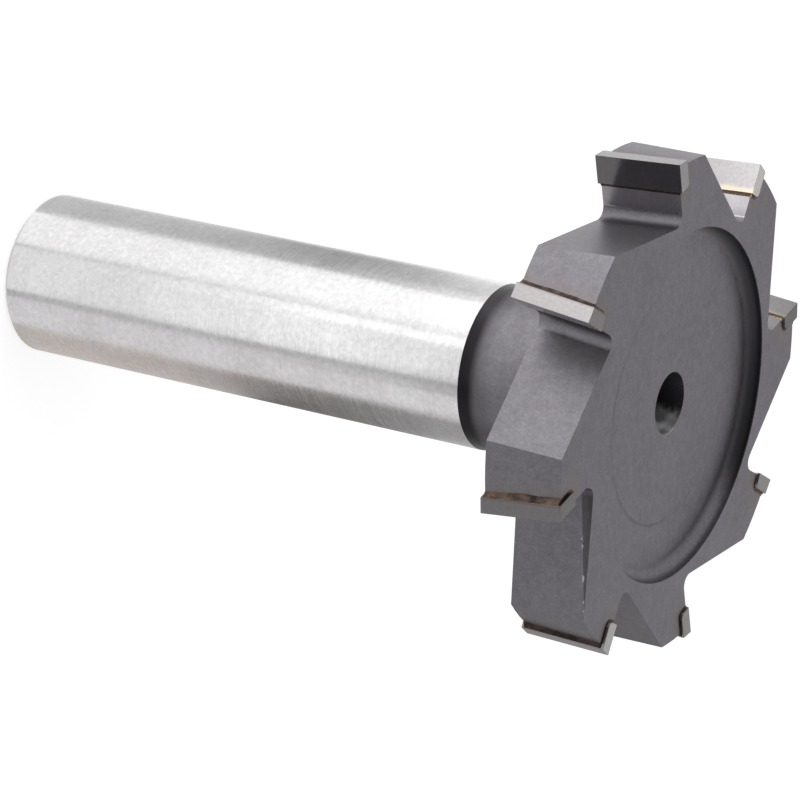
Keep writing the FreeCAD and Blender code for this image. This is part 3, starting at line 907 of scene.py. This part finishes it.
def make_floor():
    """A wide pale floor that keeps the object's shadow."""
    mesh = bpy.data.meshes.new("floor")
    corners = ((-1, -1), (1, -1), (1, 1), (-1, 1))
    mesh.from_pydata([(FLOOR_HALF * x, FLOOR_HALF * y, -FLOOR_DROP) for x, y in corners], [], [(0, 1, 2, 3)])
    floor = bpy.data.objects.new("floor", mesh)
    bpy.context.scene.collection.objects.link(floor)
    material, tree, output = bare_material("pale_floor")
    matt = tree.nodes.new("ShaderNodeBsdfDiffuse")
    matt.inputs["Color"].default_value = (0.85, 0.85, 0.85, 1.0)
    glow = tree.nodes.new("ShaderNodeEmission")
    link(tree, shown_strength(tree, 0.5, 0.45), glow.inputs["Strength"])
    both = tree.nodes.new("ShaderNodeAddShader")
    link(tree, matt.outputs[0], both.inputs[0])
    link(tree, glow.outputs[0], both.inputs[1])
    link(tree, both.outputs[0], output.inputs["Surface"])
    mesh.materials.append(material)


def make_world():
    """Soft even light from all round, white where it is seen."""
    world = bpy.data.worlds.new("studio")
    world.use_nodes = True
    tree = world.node_tree
    tree.nodes.clear()
    output = tree.nodes.new("ShaderNodeOutputWorld")
    sky = tree.nodes.new("ShaderNodeBackground")
    sky.inputs["Color"].default_value = WHITE
    link(tree, math_node(tree, "MAXIMUM", shown_strength(tree, 1.0, 0.8), 0.64), sky.inputs["Strength"])
    link(tree, sky.outputs[0], output.inputs["Surface"])
    bpy.context.scene.world = world


def soft_panel(name, azimuth, distance, width, tall, centre, brightness):
    """An upright soft panel that faces the cutter's axis. Its brightness is its own radiance."""
    data = bpy.data.lights.new(name, "AREA")
    data.shape = "RECTANGLE"
    data.size = width
    data.size_y = tall
    data.energy = brightness * math.pi * width * tall
    lamp = bpy.data.objects.new(name, data)
    turn = math.radians(azimuth)
    lamp.location = (distance * math.cos(turn), distance * math.sin(turn), centre)
    inwards = Vector((-math.cos(turn), -math.sin(turn), 0.0))
    lamp.rotation_euler = inwards.to_track_quat("-Z", "Y").to_euler()
    lamp.visible_camera = False
    bpy.context.scene.collection.objects.link(lamp)


def reflected_sheet(name, points, colour, brightness):
    """A glowing sheet on a grid of points, seen only in reflections."""
    rows, columns = points.shape[:2]
    index = np.arange(rows * columns).reshape(rows, columns)
    faces = np.stack([index[:-1, :-1], index[1:, :-1], index[1:, 1:], index[:-1, 1:]], axis=-1)
    mesh = bpy.data.meshes.new(name)
    mesh.from_pydata(points.reshape(-1, 3).tolist(), [], faces.reshape(-1, 4).tolist())
    material, tree, output = bare_material(name)
    glow = tree.nodes.new("ShaderNodeEmission")
    glow.inputs["Color"].default_value = colour
    glow.inputs["Strength"].default_value = brightness
    link(tree, glow.outputs[0], output.inputs["Surface"])
    mesh.materials.append(material)
    sheet = bpy.data.objects.new(name, mesh)
    bpy.context.scene.collection.objects.link(sheet)
    sheet.visible_camera = False
    sheet.visible_diffuse = False
    sheet.visible_shadow = False
    sheet.visible_transmission = False


def floor_card(name, start, end, inner, outer, brightness, colour=WHITE):
    """The part of the floor that a lengthwise strip of the shank mirrors towards the camera.

    Its points are the shank's own point at azimuth a, plus a run from inner to outer in the
    direction 2a less the camera's azimuth. Start and end are those directions, in degrees.
    """
    towards, run = np.meshgrid(np.radians(np.linspace(start, end, 24)), np.array([inner, outer]))
    around = (towards + CAMERA_AZIMUTH) / 2
    x = SHANK_RADIUS * np.cos(around) + run * np.cos(towards)
    y = SHANK_RADIUS * np.sin(around) + run * np.sin(towards)
    reflected_sheet(name, np.stack([x, y, np.full_like(x, CARD_LIFT)], axis=-1), colour, brightness)


def dark_flag():
    """A dark screen above the camera: a patch of a sphere between two azimuths and two elevations."""
    turn, rise = np.meshgrid(np.radians(np.linspace(5.0, 112.0, 24)), np.radians(np.linspace(6.0, 118.0, 14)))
    points = np.stack([np.cos(rise) * np.cos(turn), np.cos(rise) * np.sin(turn), np.sin(rise)], axis=-1)
    reflected_sheet("dark_flag", FLAG_DISTANCE * points, WHITE, 0.38)


def make_lights():
    """Low soft panels round the cutter, and cards and a screen that shape its reflections."""
    soft_panel("key", 0.0, 0.14, 0.12, 0.05, 0.027, 2.0)
    soft_panel("front", 58.0, 0.16, 0.16, 0.05, 0.027, 1.5)
    near, half, middle, far = 0.4 * MM, 36.0 * MM, 72.0 * MM, 220.0 * MM
    floor_card("side_card", -95.0, -31.0, near, half, 0.8)
    floor_card("side_card_far", -95.0, -31.0, half, middle, 0.42)
    floor_card("white_card", -31.0, 26.0, near, middle, 1.48)
    floor_card("seam_card", 26.0, 31.0, near, middle, 0.95)
    floor_card("pale_card", 31.0, 95.0, near, half, 1.18)
    floor_card("pale_card_far", 31.0, 95.0, half, middle, 1.8)
    floor_card("line_card", 95.0, 105.0, near, middle, 0.7)
    floor_card("grey_card", 105.0, 150.0, near, middle, 1.0, (1.0, 0.985, 1.0, 1.0))
    floor_card("brown_card", 150.0, 235.0, near, half, 0.76, BROWN)
    floor_card("brown_card_far", 150.0, 235.0, half, middle, 0.18, BROWN)
    floor_card("far_side_card", -130.0, -40.0, middle, far, 1.4)
    floor_card("far_white_card", -40.0, 45.0, middle, far, 1.9)
    floor_card("far_grey_card", 45.0, 112.0, middle, far, 0.6)
    floor_card("far_tip_card", 112.0, 152.0, middle, far, 1.15)
    floor_card("far_brown_card", 152.0, 235.0, middle, far, 0.6)
    dark_flag()


make_body()
make_tips()
make_camera()
make_floor()
make_world()
make_lights()
bpy.context.scene.view_settings.view_transform = "Standard"
